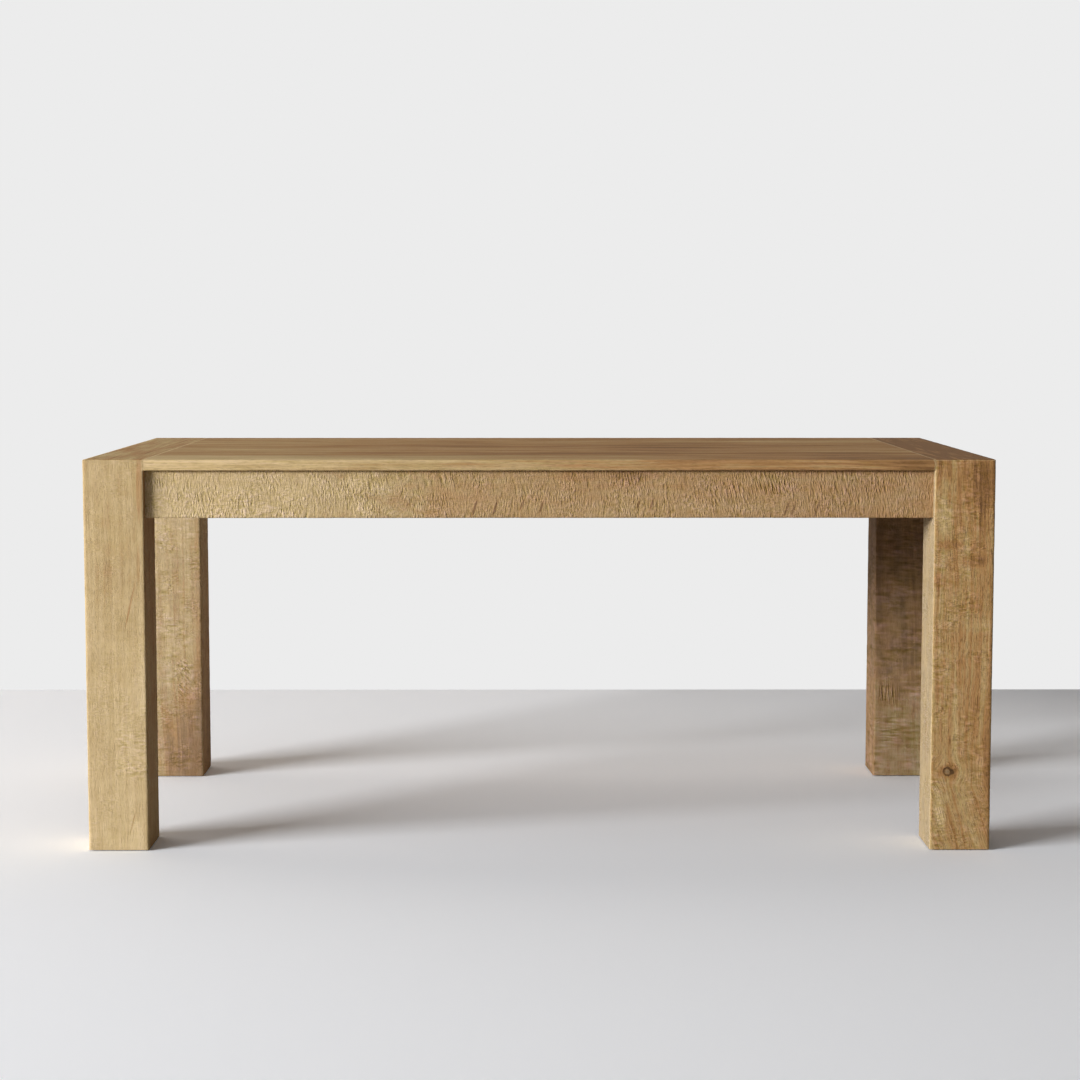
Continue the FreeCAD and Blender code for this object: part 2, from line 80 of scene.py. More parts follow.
class OakFinish(bpy.types.PropertyGroup):
    """Colours of the oak, as waxed reclaimed boards show them."""
    straw: colour("Straw", "Palest wood, sapwood and worn arrises", "#cdb68c")
    honey: colour("Honey", "Light boards", "#b39b70")
    tan: colour("Tan", "The usual brown of the boards", "#a47e54")
    nut: colour("Nut", "Browner boards and heartwood", "#7d5c3b")
    umber: colour("Umber", "Dark streaks, checks and knots", "#3e2c1e")
    patina: colour("Patina", "Grey bloom that weather has left", "#a3937c")
    under: colour("Underframe", "Unwaxed oak below the top", "#b59870")


class BoardShape(bpy.types.PropertyGroup):
    """Sizes of what saw, plane and wear leave on the boards."""
    leg_step: length("Leg step", "Mesh step along a leg", 2.5 * MM)
    top_step: length("Top step", "Mesh step on the top", 5 * MM)
    apron_step: length("Apron step", "Mesh step along an apron", 1.5 * MM)
    across: length("Cross step", "Mesh step across a board", 5 * MM)
    saw_depth: length("Saw mark depth", "Depth of a strong saw mark", 0.38 * MM)
    wander: length("Wander", "Scale of the dips in a worn face", 0.35 * MM)
    nick: length("Nick", "Usual depth of the wear along an arris", 0.45 * MM)


class StudioLook(bpy.types.PropertyGroup):
    """Floor, wall, lamps and camera."""
    floor: colour("Floor", "Pale floor", "#ebeef3")
    wall: colour("Wall", "Pale wall", "#ececec")
    bounce: colour("Bounce", "Floor and wall as they throw light back", "#beb6ad")
    lift: FloatProperty(name="Floor lift", description="How much brighter the floor looks",
                        default=1.15, min=0)
    key: FloatProperty(name="Key", description="Power of the key lamp", unit="POWER", default=3850, min=0)
    fill: FloatProperty(name="Fill", description="Power of the fill lamp", unit="POWER", default=40, min=0)
    ambient: FloatProperty(name="Ambient", description="Strength of the world", default=0.07, min=0)
    lens: FloatProperty(name="Lens", description="Focal length", unit="CAMERA", default=77.4, min=1)


def settings(group):
    """The scene's values of one group of settings."""
    return getattr(bpy.context.scene, group)


# ---------------------------------------------------------------- boards

WELD = 1e-6             # points of the joinery's mesh closer than this are one, m
FLAT = 0.5              # degrees within which two faces are one flat face
ON_CUT = 1e-7           # points closer to a cut than this lie on it, m
ARRIS = 7 * MM         # how far from an arris its wear reaches
SKIN = 1.6 * MM         # how far under a face its own points lie at most, where the arris is eased
CREASE = 50             # degrees between two faces from which their edge stays sharp


def saw_apart(bm, faces, axis, marks):
    """Cut the faces across the axis at every mark, halving the work each time."""
    if not marks or not faces:
        return
    middle = len(marks) // 2
    point, normal = Vector(), Vector()
    point[axis], normal[axis] = marks[middle], 1
    geometry = {*faces}
    for face in faces:
        geometry.update(face.edges)
        geometry.update(face.verts)
    cut = bmesh.ops.bisect_plane(bm, geom=list(geometry), dist=ON_CUT, plane_co=point, plane_no=normal)
    parts = [(part, part.calc_center_median()[axis]) for part in cut["geom"]
             if isinstance(part, bmesh.types.BMFace)]
    saw_apart(bm, [part for part, at in parts if at < marks[middle]], axis, marks[:middle])
    saw_apart(bm, [part for part, at in parts if at > marks[middle]], axis, marks[middle + 1:])


def marks_between(low, high, step):
    """Even marks between two ends, no further apart than the step."""
    count = max(1, math.ceil((high - low) / step))
    return [low + (high - low) * i / count for i in range(1, count)]


def board(node, name, steps, shown, relief):
    """A board from its joinery: merged, cut to a fine grid, and worn by relief on its shown faces.

    shown lists (axis, side) of the faces in sight; relief gives a point's depth and its saw mark.
    """
    low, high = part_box(node)
    bm = bmesh.new()
    bm.from_mesh(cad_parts[node].data)
    bmesh.ops.remove_doubles(bm, verts=bm.verts, dist=WELD)
    bmesh.ops.dissolve_limit(bm, angle_limit=math.radians(FLAT), verts=bm.verts, edges=bm.edges)
    for axis in sorted(range(3), key=lambda a: low[a] - high[a]):
        saw_apart(bm, bm.faces[:], axis, marks_between(low[axis], high[axis], steps[axis]))
    arris_layer = bm.verts.layers.float.new("arris")
    saw_layer = bm.verts.layers.float.new("saw_mark")
    finish = settings("board_shape")
    for vert in bm.verts:
        point = vert.co.copy()
        near = {}
        for axis, side in shown:
            gap = abs(point[axis] - (high if side > 0 else low)[axis])
            if gap < ARRIS:
                near[axis, side] = gap
        arris = 1 - sorted(near.values())[1] / ARRIS if len(near) > 1 else 0.0
        depth, saw = relief(point)
        # an arris is worn in stretches about 26 mm long, with nicks about 8 mm long
        wear = noise.noise(point * 38) + 0.35 * noise.noise(point * 130) + 0.25
        chip = arris ** 2 * finish.nick * max(0.0, wear)
        for axis, side in near:
            if near[axis, side] < SKIN:
                vert.co[axis] -= side * (depth + chip)
        vert[arris_layer] = arris
        vert[saw_layer] = saw
    for edge in bm.edges:
        edge.smooth = len(edge.link_faces) == 2 and edge.calc_face_angle(0) < math.radians(CREASE)
    for face in bm.faces:
        face.smooth = True
    mesh = bpy.data.meshes.new(name)
    bm.to_mesh(mesh)
    bm.free()
    piece = bpy.data.objects.new(name, mesh)
    bpy.context.scene.collection.objects.link(piece)
    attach(piece, "root")
    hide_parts(node)
    return piece


# In the reliefs a coordinate is multiplied by the dips, patches or marks that come in a metre.
PLANK_REACH = 0.78      # the planks end here and the end boards begin, m from the middle
APRON_REACH = 0.82      # the long aprons lie within this and the end aprons beyond, m from the middle
APRON_MIDDLE = 0.71     # about halfway up the aprons, m


def leg_relief(point):
    """Planed and worn: long dips along the grain, with saw marks across it in patches."""
    finish = settings("board_shape")
    dip = noise.noise(Vector((point.x * 14, point.y * 14, point.z * 2.2)))
    patch = max(0.0, noise.noise(Vector((point.x * 9, point.y * 9, point.z * 5 + 3))) + 0.15)
    comb = noise.noise(Vector((point.x * 24, point.y * 24, point.z / (4.4 * MM))))
    saw = patch * max(0.0, comb)
    return finish.wander * (0.5 + 0.5 * dip) * 0.7 + finish.saw_depth * saw * 0.5, saw


def top_relief(point):
    """Planed flat, then worn along the grain."""
    finish = settings("board_shape")
    along_x, along_y = (1.1, 14) if abs(point.x) < PLANK_REACH else (14, 1.1)
    dip = noise.noise(Vector((point.x * along_x, point.y * along_y, point.z)))
    return finish.wander * (0.5 + 0.5 * dip) * 0.6, 0.0


# The saw's kerfs on an apron: pitch in mm, lean, from and to along the apron in m, stroke in mm.
KERFS = ((3.6, 0.08, -1, 1, 17), (4.8, 0.3, 0.42, 0.50, 34), (7, 0.35, 0.33, 0.43, 34))
KERF_FADE = 0.03        # how far a set of kerfs takes to fade in and out along the apron, m


def apron_relief(point):
    """Left from the saw: kerfs near upright and slightly curved, deeper in patches."""
    finish = settings("board_shape")
    run = point.x if abs(point.x) < APRON_REACH else point.y
    rise = point.z - APRON_MIDDLE
    total = 0.0
    for pitch, lean, low, high, stroke in KERFS:
        window = min(1.0, max(0.0, min(run - low, high - run) / KERF_FADE))
        phase = (run + lean * rise + 2.5 * rise * rise) / (pitch * MM)
        kerf = max(0.0, noise.noise(Vector((phase, rise / (stroke * MM), pitch))))
        patch = max(0.0, 0.45 + noise.noise(Vector((run * 8 + pitch, rise * 14, 2))))
        total = max(total, window * patch * kerf * 1.6)
    dip = noise.noise(Vector((run * 2.5, rise * 18, 5)))
    return finish.wander * (0.5 + 0.5 * dip) * 0.5 + finish.saw_depth * total, total


# ---------------------------------------------------------------- materials

def add(tree, kind, *inputs, **options):
    """Add a node: options are its settings, inputs are (socket, value or output to link)."""
    made = tree.nodes.new("ShaderNode" + kind)
    for name, value in options.items():
        setattr(made, name, value)
    for socket, value in inputs:
        if isinstance(value, bpy.types.NodeSocket):
            tree.links.new(value, made.inputs[socket])
        else:
            made.inputs[socket].default_value = value
    return made.outputs


def ramp(tree, value, *stops):
    """Colours that follow a value, each stop with its position and its colour."""
    made = add(tree, "ValToRGB", (0, value))[0]
    bands = made.node.color_ramp.elements
    bands[0].position, bands[0].color = stops[0]
    bands[1].position, bands[1].color = stops[-1]
    for position, shade in stops[1:-1]:
        bands.new(position).color = shade
    return made


def empty_material(name):
    """A new material and its node tree, with no node in it."""
    material = bpy.data.materials.new(name)
    material.use_nodes = True
    material.node_tree.nodes.clear()
    return material, material.node_tree


def start_material(name, roughness, **sockets):
    """A new material with its shader's even values set on the shader's own sockets."""
    material, tree = empty_material(name)
    shader = add(tree, "BsdfPrincipled", ("Roughness", roughness),
                 *((key.replace("_", " "), value) for key, value in sockets.items()))["BSDF"]
    add(tree, "OutputMaterial", ("Surface", shader))
    return material, tree, shader.node


class Saw:
    """One set of saw marks: pitch and stroke in mm, degrees off square to the grain, and its patch in m.

    floor is how much of the marks is left between the places where they show best.
    """

    def __init__(self, pitch, stroke, angle=0, strength=1.0, along=(-1, 1), across=(-1, 1), floor=0.1):
        self.pitch, self.stroke, self.turn, self.strength = pitch, stroke, math.radians(angle), strength
        self.along, self.across, self.floor = along, across, floor


class Lumber:
    """How one board was cut: its grain, colours, saw marks and faults."""
    tone = 0.4              # 0 is straw, 1 is nut brown
    slope = (0.0, 0.0)      # how the tone changes across and along the board, per m
    patchy = 0.35           # how cloudy the tone is
    cloud = 34.0            # how closely the clouds follow each other along the grain, per m
    ring = 4.0              # width of a growth ring, mm
    rings = 0.3             # how much the rings show
    pith = (0.05, 0.09)     # where the tree's pith lies, m across and m in
    tilt = (0.0, 0.0)       # how far the pith strays along the board, m per m
    lean = (0.0, 0.0)       # below this height the grain leans by this much
    fibre = 1.0             # hairlines along the grain
    curl = 0.5              # how much they wave
    mottle = 0.6            # specks with no direction
    pores = 0.2             # open pores
    patina = 0.1            # grey bloom
    warm = 0.0              # how much redder and yellower than its neighbours
    level = 1.0             # how bright beside its neighbours
    wear = 0.7              # how pale the arrises are rubbed
    streak = 0.5            # dark streaks along the grain
    saws = ()
    knots = ()              # across, along, radius, m
    # patches of changed tone: stains, and on the front apron a pale left end that is partly painted light
    stains = ()             # across, along, width, height, m, change of tone, and degrees if turned

    def __init__(self, grain, face, seed, **cut):
        self.grain, self.face, self.across, self.seed = grain, face, 3 - grain - face, seed
        self.cut = cut
        for name, value in cut.items():
            setattr(self, name, value)

    def turned(self, face, seed, **changes):
        """The same wood on another face of the leg, with no faults and only its first saw marks."""
        cut = dict(self.cut, slope=(0, self.slope[1]), tilt=(0, 0), lean=(0, 0))
        cut.update(saws=self.saws[:1], knots=(), stains=(), **changes)
        return Lumber(self.grain, face, self.seed + seed, **cut)


def oak(name, lumber, centre):
    """Reclaimed oak, planed or left from the saw, oiled and waxed.

    Growth rings in the board's own cut, fibre streaks 1 to 3 mm wide, pores, saw marks across the
    grain with painted shade in their grooves, darker weathered patches and pale worn arrises: a dull,
    dry-looking tan surface.
    """
    finish = settings("oak_finish")
    straw, honey, tan, nut, umber, patina = ((*getattr(finish, key), 1) for key in
                                             ("straw", "honey", "tan", "nut", "umber", "patina"))
    material, tree, shader = start_material(name, 0.76, Specular_IOR_Level=0.08)

    def calc(operation, a, b=0.0, c=0.0):
        return add(tree, "Math", (0, a), (1, b), (2, c), operation=operation)[0]

    def vector(x, y, z):
        return add(tree, "CombineXYZ", (0, x), (1, y), (2, z))[0]

    def span(arrow):
        return add(tree, "VectorMath", (0, arrow), operation="LENGTH")[1]

    def moved(place, by):
        return add(tree, "VectorMath", (0, place), (1, by), operation="ADD")[0]

    def field(place, scale, detail=2.0, rough=0.55):
        """Noise from about -1 to 1, with features about one over scale wide."""
        squeezed = add(tree, "VectorMath", (0, place), (1, scale), operation="MULTIPLY")[0]
        value = add(tree, "TexNoise", ("Vector", squeezed), ("Scale", 1.0), ("Detail", detail),
                    ("Roughness", rough))[0]
        return calc("MULTIPLY_ADD", value, 4.0, -2.0)

    def spread(value, low, high, to_low=0.0, to_high=1.0):
        return add(tree, "MapRange", (0, value), (1, low), (2, high), (3, to_low), (4, to_high),
                   interpolation_type="SMOOTHSTEP")[0]

    def window(value, low, high, soft):
        """1 between low and high and 0 outside, with soft borders."""
        risen = spread(value, low - soft, low + soft)
        return calc("MULTIPLY", risen, spread(value, high - soft, high + soft, 1.0, 0.0))

    def blend(amount, a, b, kind="MIX"):
        return add(tree, "Mix", (0, amount), (6, a), (7, b), data_type="RGBA", blend_type=kind)[2]

    place = add(tree, "TexCoord")["Object"]
    centred = add(tree, "Mapping", ("Vector", place), ("Location", [-c for c in centre]))[0]
    axes = add(tree, "SeparateXYZ", (0, centred))
    across, depth, along = axes[lumber.across], axes[lumber.face], axes[lumber.grain]
    elsewhere = (lumber.seed * 1.7, lumber.seed * 0.9, lumber.seed * 2.3)   # so that no two boards match
    here = moved(vector(across, depth, along), elsewhere)

    # knots push the rings aside
    swirl, core, ring_dark, halo, flow = 0.0, 0.0, 0.0, 0.0, here
    for side, height, radius in lumber.knots:
        du, dw = calc("SUBTRACT", across, side), calc("SUBTRACT", along, height)
        wobble = calc("MULTIPLY", field(here, (110, 110, 80)), radius * 0.35)
        off = span(vector(du, 0.0, calc("MULTIPLY", dw, 1.2)))
        far = calc("ADD", off, wobble)
        core = calc("MAXIMUM", core, spread(far, radius * 0.35, radius * 0.75, 1.0, 0.0))
        ring_dark = calc("MAXIMUM", ring_dark, window(far, radius * 0.7, radius * 1.25, radius * 0.25))
        halo = calc("MAXIMUM", halo, spread(far, radius * 1.0, radius * 3.2, 1.0, 0.0))
        swirl = calc("MULTIPLY_ADD", spread(off, 0.0, radius * 8, 1.0, 0.0), radius * 2.6, swirl)
        bend = calc("MULTIPLY", calc("MULTIPLY", du, spread(off, 0.0, radius * 6, 1.0, 0.0)), -0.85)
        flow = moved(flow, vector(bend, 0.0, 0.0))

    # growth rings round a pith that lies beside the board
    waver = calc("MULTIPLY", field(here, (36, 36, 6), 1.0), 1.6 * MM)
    wander = calc("MULTIPLY_ADD", field(here, (7, 7, 1.3)), 12 * MM, waver)
    below = calc("MULTIPLY", calc("MINIMUM", calc("SUBTRACT", along, lumber.lean[0]), 0.0), lumber.lean[1])
    pith_u, pith_v = (calc("MULTIPLY_ADD", along, tilt, pith) for tilt, pith in zip(lumber.tilt, lumber.pith))
    ring_u = calc("ADD", calc("ADD", calc("ADD", across, pith_u), wander), below)
    ring_v = calc("ADD", calc("ADD", depth, pith_v), swirl)
    ring = calc("DIVIDE", span(vector(ring_u, ring_v, 0.0)), lumber.ring * MM)
    rings = field(vector(ring, calc("MULTIPLY", along, 0.8), lumber.seed), (1, 1, 1), 2.0, 0.6)

    # the grain waves with the rings; real pores are 0.3 mm wide, and these are 1 mm so that they show
    wave = field(here, (32, 32, 17), 1.0)
    curl = calc("MULTIPLY_ADD", wave, 2.6 * MM * lumber.curl, calc("MULTIPLY", wander, 0.5))
    flow = moved(flow, vector(calc("ADD", curl, below), 0.0, 0.0))
    fibre = field(flow, (380, 380, 8), 3.0, 0.65)
    strand = field(flow, (110, 110, 4.0), 2.0)
    patches = field(here, (11, 11, 3.6), 2.0)
    blotch = field(here, (46, 46, lumber.cloud), 2.0)
    mottle = field(here, (200, 200, 170), 2.0, 0.6)
    pores = field(flow, (900, 900, 70), 0.0)

    # tone, from straw to nut brown
    tone = calc("MULTIPLY_ADD", across, lumber.slope[0], lumber.tone)
    tone = calc("ADD", tone, calc("MULTIPLY", along, lumber.slope[1]))
    for part, share in ((patches, lumber.patchy * 0.45), (blotch, lumber.patchy * 0.45),
                        (rings, lumber.rings * 0.6), (strand, 0.19 * lumber.fibre)):
        tone = calc("MULTIPLY_ADD", part, share, tone)
    for side, height, wide, high, shift, *turn in lumber.stains:
        beside, beyond = calc("SUBTRACT", across, side), calc("SUBTRACT", along, height)
        if turn:
            sine, cosine = math.sin(math.radians(turn[0])), math.cos(math.radians(turn[0]))
            beside, beyond = (calc("MULTIPLY_ADD", beyond, sine, calc("MULTIPLY", beside, cosine)),
                              calc("MULTIPLY_ADD", beside, -sine, calc("MULTIPLY", beyond, cosine)))
        from_middle = vector(calc("DIVIDE", beside, wide / 2), 0.0, calc("DIVIDE", beyond, high / 2))
        away = calc("MULTIPLY_ADD", blotch, 0.22, span(from_middle))
        tone = calc("MULTIPLY_ADD", spread(away, 0.45, 1.15, 1.0, 0.0), shift, tone)
    tone = calc("MULTIPLY_ADD", halo, 0.28, tone)
    shown = ramp(tree, tone, (0.0, straw), (0.35, honey), (0.68, tan), (1.0, nut))

    # saw marks, as a bump and as painted shade: the colour is darker where they cut deeper
    marks = add(tree, "Attribute", attribute_name="saw_mark")["Fac"]
    relief = calc("MULTIPLY", marks, -1.0)
    for number, saw in enumerate(lumber.saws):
        down = calc("MULTIPLY_ADD", blotch, 0.6 * MM, along)
        line = calc("MULTIPLY_ADD", across, math.sin(saw.turn), calc("MULTIPLY", down, math.cos(saw.turn)))
        run = calc("MULTIPLY_ADD", across, math.cos(saw.turn), calc("MULTIPLY", down, -math.sin(saw.turn)))
        cell = vector(calc("DIVIDE", run, saw.stroke * 0.6 * MM), calc("MULTIPLY_ADD", depth, 60, number),
                      calc("DIVIDE", line, saw.pitch * 0.6 * MM))
        tooth = field(cell, (1, 1, 1), 1.0)
        patch = field(moved(here, (0.0, 0.0, 3.1 * number)), (24, 24, 20), 1.0)
        cover = spread(patch, -0.5, 0.7, saw.floor, 1.0)
        if saw.along != (-1, 1):
            cover = calc("MULTIPLY", cover, window(along, *saw.along, 0.02))
        if saw.across != (-1, 1):
            cover = calc("MULTIPLY", cover, window(across, *saw.across, 0.012))
        relief = calc("MULTIPLY_ADD", calc("MULTIPLY", tooth, cover), saw.strength, relief)

    # grey bloom, and light and dark hairlines along the grain
    bloom = spread(field(here, (26, 26, 15), 2.0), -1.0, 1.0, 0.6, 1.4)
    shown = blend(calc("MULTIPLY", bloom, lumber.patina), shown, patina)
    shade = calc("MULTIPLY_ADD", fibre, 0.14 * lumber.fibre, 1.0)
    shade = calc("MULTIPLY_ADD", mottle, 0.12 * lumber.mottle, shade)
    # the saw marks darken the colour in their grooves, which is painted shade, and lighten it on their
    # ridges, partly the pale fuzz of torn fibres and partly painted light
    shade = calc("MULTIPLY_ADD", relief, 0.17, shade)
    red = calc("MULTIPLY", shade, lumber.level)
    green = calc("MULTIPLY", red, 1 - 0.05 * lumber.warm)
    blue = calc("MULTIPLY", calc("MULTIPLY", red, shade), 1 - 0.15 * lumber.warm)
    shown = blend(1.0, shown, add(tree, "CombineColor", (0, red), (1, green), (2, blue))[0], "MULTIPLY")
    pit = spread(pores, -0.35, -0.75)
    shown = blend(calc("MULTIPLY", pit, lumber.pores), shown, umber)
    dark_line = calc("MULTIPLY", spread(strand, 0.55, 1.0), spread(patches, 0.05, 0.5))
    shown = blend(calc("MULTIPLY", dark_line, lumber.streak), shown, umber)
    if lumber.knots:
        shown = blend(calc("MULTIPLY", core, 0.6), shown, linear("#85755c"))
        shown = blend(calc("MULTIPLY", ring_dark, calc("MULTIPLY_ADD", blotch, 0.3, 0.7)), shown, umber)

    # worn arrises
    arris = add(tree, "Attribute", attribute_name="arris")["Fac"]
    rubbed = spread(arris, 1 - 0.4 * lumber.wear, 1.0)
    worn = calc("MULTIPLY", rubbed, spread(blotch, -0.9, 0.6, 0.3 * lumber.wear, lumber.wear))
    shown = blend(worn, shown, straw)
    tree.links.new(shown, shader.inputs["Base Color"])

    tree.links.new(calc("MULTIPLY_ADD", fibre, 0.08, 0.76), shader.inputs["Roughness"])
    height = calc("MULTIPLY_ADD", fibre, 0.3 * lumber.fibre, calc("MULTIPLY", pit, -0.5))
    height = calc("MULTIPLY_ADD", mottle, 0.2 * lumber.mottle, height)
    height = calc("MULTIPLY_ADD", rings, 0.2, height)
    height = calc("ADD", height, relief)
    tree.links.new(add(tree, "Bump", ("Height", height), ("Distance", 0.45 * MM), ("Strength", 1.0))[0],
                   shader.inputs["Normal"])
    return material


def underframe_oak():
    """Plain-sawn oak, planed and left unwaxed: paler and drier than the boards in sight."""
    finish = settings("oak_finish")
    material, tree, shader = start_material("plain_sawn_oak_unwaxed", 0.75, Specular_IOR_Level=0.25)
    place = add(tree, "TexCoord")["Object"]
    grain = add(tree, "Mapping", ("Vector", place), ("Scale", (160, 30, 160)))[0]
    fibre = add(tree, "TexNoise", ("Vector", grain), ("Scale", 1.0), ("Detail", 4.0))[0]
    dark = (*(c * 0.62 for c in finish.under), 1)
    shown = ramp(tree, fibre, (0.3, dark), (0.7, (*finish.under, 1)))
    tree.links.new(shown, shader.inputs["Base Color"])
    tree.links.new(add(tree, "Bump", ("Height", fibre), ("Distance", 0.3 * MM), ("Strength", 0.6))[0],
                   shader.inputs["Normal"])
    return material


def birch_ply():
    """Birch plywood, 1.4 mm veneers seen on edge: pale, with thin brown glue lines."""
    material, tree, shader = start_material("birch_plywood_edge", 0.6, Specular_IOR_Level=0.4)
    place = add(tree, "TexCoord")["Object"]
    layers = add(tree, "TexWave", ("Vector", place), ("Scale", 115.0), ("Distortion", 0.3),
                 bands_direction="Z")[1]
    shown = ramp(tree, layers, (0.1, linear("#9a7a50")), (0.4, linear("#dfc79e")))
    tree.links.new(shown, shader.inputs["Base Color"])
    return material


def zinc_steel():
    """Zinc-plated steel: bright grey metal with a faint mottle from the plating bath."""
    material, tree, shader = start_material("zinc_plated_steel", 0.38, Metallic=1.0)
    place = add(tree, "TexCoord")["Object"]
    mottle = add(tree, "TexNoise", ("Vector", place), ("Scale", 900.0), ("Detail", 3.0))[0]
    shown = ramp(tree, mottle, (0.0, linear("#9fa2a4")), (1.0, linear("#c9cbcc")))
    tree.links.new(shown, shader.inputs["Base Color"])
    tree.links.new(add(tree, "MapRange", (0, mottle), (3, 0.3), (4, 0.5))[0], shader.inputs["Roughness"])
    return material


def nylon():
    """Moulded nylon, brown: a satin plastic scuffed by the floor."""
    material, tree, shader = start_material("moulded_nylon_brown", 0.5, IOR=1.53)
    place = add(tree, "TexCoord")["Object"]
    scuff = add(tree, "TexNoise", ("Vector", place), ("Scale", 420.0), ("Detail", 4.0))[0]
    shown = ramp(tree, scuff, (0.0, linear("#4a3b2d")), (1.0, linear("#65523f")))
    tree.links.new(shown, shader.inputs["Base Color"])
    tree.links.new(add(tree, "MapRange", (0, scuff), (3, 0.42), (4, 0.62))[0], shader.inputs["Roughness"])
    return material


def dress(piece, material):
    """Give a piece, new or from the frame, one material."""
    slots = piece.data.materials
    if slots:
        slots[0] = material
    else:
        slots.append(material)


# ---------------------------------------------------------------- the table's boards

# Boards on the right get darker tones than their fellows on the left, and the front apron and the planks
# darken towards the right along their slopes: partly the wood's own tone, partly painted fall-off of the
# light from the left.
# The stave of each leg that faces forward; the other three staves are turned from it.
LEGS = {
    "front_left": Lumber(Z, Y, 1.3, tone=0.24, slope=(0, 0.3), ring=5, pith=(0.10, 0.03), tilt=(0.02, 0),
                         patchy=0.22, rings=0.12, fibre=0.5, curl=0.8, mottle=0.2, pores=0.1, patina=0.12,
                         streak=0.2, wear=0.2,
                         saws=(Saw(4.6, 14, 3, 0.5, floor=0),
                               Saw(6.5, 26, 5, 1.3, along=(-0.25, -0.09), across=(0, 0.06), floor=0.3)),
                         stains=((0.050, 0.33, 0.014, 0.16, 0.3), (0.047, 0.18, 0.008, 0.10, 0.25),
                                 (0.029, 0.10, 0.004, 0.12, 0.35, -13),
                                 (0.028, -0.336, 0.004, 0.055, 0.5, -14), (0.035, -0.36, 0.03, 0.08, -0.2))),
    "front_right": Lumber(Z, Y, 4.1, tone=0.56, slope=(0.5, 0.1), ring=6, pith=(0.035, 0.012),
                          tilt=(0.02, 0.075), lean=(-0.26, 0.3), patchy=0.22, rings=0.3, fibre=1.1,
                          curl=1.1, mottle=0.4, pores=0.35, patina=0.0, warm=0.8,
                          saws=(Saw(5, 16, 3, 1.2, floor=0), Saw(10, 30, 8, 1.4, floor=0.1)),
                          knots=((-0.025, -0.232, 0.0085),),
                          stains=((-0.042, 0.29, 0.030, 0.13, -0.18), (0.035, 0.34, 0.05, 0.12, 0.25),
                                  (-0.03, 0.222, 0.06, 0.022, 0.2), (-0.048, 0.15, 0.03, 0.04, 0.2),
                                  (0.02, 0.19, 0.06, 0.03, 0.2), (0.02, 0.07, 0.05, 0.06, -0.15),
                                  (0.045, -0.20, 0.06, 0.38, 0.16, 8), (-0.04, -0.30, 0.03, 0.1, -0.25),
                                  (-0.022, -0.17, 0.003, 0.022, 0.7), (0.032, -0.093, 0.003, 0.03, 0.5))),
    "rear_left": Lumber(Z, Y, 7.7, tone=0.33, slope=(1.2, -0.4), ring=5, pith=(-0.09, 0.04),
                        tilt=(0.05, 0.08), patchy=0.35, rings=0.3, fibre=0.5, curl=1.2, mottle=0.3,
                        pores=0.15, patina=0.3,
                        saws=(Saw(4.8, 12, 2, 1.2, floor=0), Saw(10, 40, 0, 1.4, floor=0.1),
                              Saw(7, 18, 35, 2.4, along=(-0.19, -0.11), across=(0.005, 0.035), floor=0.6)),
                        stains=((0.045, -0.39, 0.17, 0.54, 0.45), (0.05, 0.0, 0.03, 0.7, 0.15),
                                (0.03, 0.30, 0.05, 0.1, 0.3))),
    "rear_right": Lumber(Z, Y, 9.2, tone=0.85, slope=(0, 0.4), ring=6, pith=(0.06, 0.04), tilt=(0.05, 0.05),
                         patchy=0.35, rings=0.2, fibre=0.5, curl=0.8, mottle=0.3, pores=0.15, patina=0.22,
                         level=0.82, wear=0.2,
                         saws=(Saw(15, 60, 3, 2.2, floor=0.3), Saw(7, 14, 2, 0.9, floor=0),
                               Saw(5, 60, 90, 2.4, along=(-0.21, -0.165), across=(-0.05, -0.005), floor=0.8),
                               Saw(6.5, 60, 0, 2.8, along=(-0.31, -0.265), across=(-0.045, 0.0), floor=0.9)),
                         stains=((0, -0.33, 0.3, 0.4, -0.2),)),
}
# How the face of each leg towards the middle of the table differs. The left legs' inner faces, turned away
# from the key lamp, get darker and redder tones: partly their own wood, partly painted warm shade.
INNER = {
    "front_left": dict(tone=0.55, patina=0.0),
    "front_right": dict(tone=0.34, patina=0.5, warm=0.1, level=0.85, fibre=0.6),
    "rear_left": dict(tone=0.6, patina=0.05),
    "rear_right": dict(tone=0.9, patina=0.2, level=0.8),
}
APRON_MARKS = (Saw(4.6, 14, 3, 1.5, floor=0.3), Saw(5.5, 22, -13, 0.6), Saw(14, 5, 0, 0.9, floor=0))
SAWN = dict(ring=7, rings=0.1, patchy=0.16, fibre=0.2, curl=0.3, mottle=0.35, pores=0.05, patina=0.18,
            streak=0.2)
